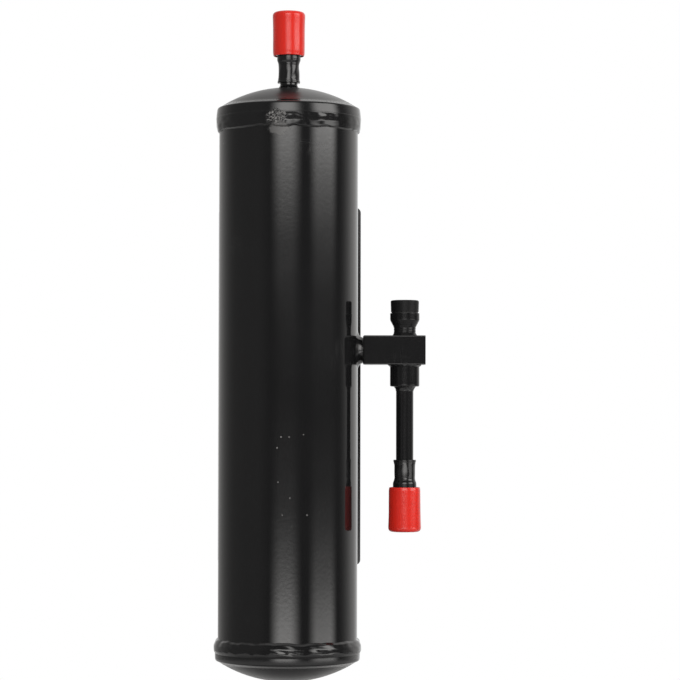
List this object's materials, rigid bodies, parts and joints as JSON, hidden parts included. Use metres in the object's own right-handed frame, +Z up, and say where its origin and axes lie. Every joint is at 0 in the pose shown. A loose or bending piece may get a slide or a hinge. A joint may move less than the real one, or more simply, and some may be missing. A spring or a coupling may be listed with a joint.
{
  "type": "receiver drier",
  "caption": "Upright black steel vessel of an air conditioning circuit with an inlet on top, a side outlet block with service port and down tube, and push-on caps.",
  "frame": {"origin": "on the vessel's axis halfway up the shell, where a clamp band would sit", "axes": "+Z up the vessel's axis to the inlet, +X to the outlet block, +Y to the mounting plate at the back"},
  "size_m": [0.1156, 0.0815, 0.3671],
  "materials": {
    "black_paint": "gloss black paint over steel",
    "red_plastic": "soft moulded plastic, satin to gloss",
    "black_plastic": "satin moulded plastic",
    "seal_rubber": "matte",
    "core_brass": "machined",
    "plain_steel": "bare",
    "filter_felt": "pressed felt",
    "desiccant_beads": "molecular sieve beads"
  },
  "bodies": {
    "vessel": {"back_plate": "black_paint", "bed_spring": "plain_steel", "block_weld": "black_paint", "boss_weld": "black_paint", "bottom_head": "black_paint", "bottom_weld_bead": "black_paint", "desiccant": "desiccant_beads", "inlet_braze": "black_paint", "inlet_fitting": "black_paint", "inlet_tube": "black_paint", "lower_felt": "filter_felt", "lower_screen": "plain_steel", "outlet_boss": "black_paint", "outlet_braze": "black_paint", "outlet_fitting": "black_paint", "outlet_tube": "black_paint", "pickup_tube": "plain_steel", "plate_welds": "black_paint", "service_port": "black_paint", "shell": "black_paint", "side_block": "black_paint", "strainer": "plain_steel", "support_ring": "plain_steel", "top_head": "black_paint", "top_weld_bead": "black_paint", "upper_felt": "filter_felt", "upper_screen": "plain_steel", "valve_core": "core_brass"},
    "inlet_cap": {"inlet_cap": "red_plastic"},
    "outlet_cap": {"outlet_cap": "red_plastic"},
    "gasket": {"cap_gasket": "seal_rubber"},
    "valve_cap": {"valve_cap": "black_plastic"},
    "valve_pin": {"valve_pin": "core_brass"}
  },
  "joints": [
    {"name": "inlet_cap_pull", "type": "slide", "parent": "vessel", "child": "inlet_cap", "axis": [0, 0, 1], "range_m": [0, 0.03]},
    {"name": "outlet_cap_pull", "type": "slide", "parent": "vessel", "child": "outlet_cap", "axis": [0, 0, -1], "range_m": [0, 0.03]},
    {"name": "port_cap_rise", "type": "slide", "parent": "vessel", "child": "gasket", "axis": [0, 0, 1], "range_m": [0, 0.005]},
    {"name": "port_cap_turn", "type": "hinge", "parent": "gasket", "child": "valve_cap", "pos_m": [0.0639, 0, 0.04], "axis": [0, 0, 1], "range_deg": [0, 1440.5]},
    {"name": "valve_pin_push", "type": "slide", "parent": "vessel", "child": "valve_pin", "axis": [0, 0, -1], "range_m": [0, 0.0012], "stiffness_N_per_m": 1000, "springref_m": -0.0005}
  ],
  "couplings": [
    {"joint": "port_cap_turn", "follows": "port_cap_rise", "rad_per_m": 5026.5}
  ]
}
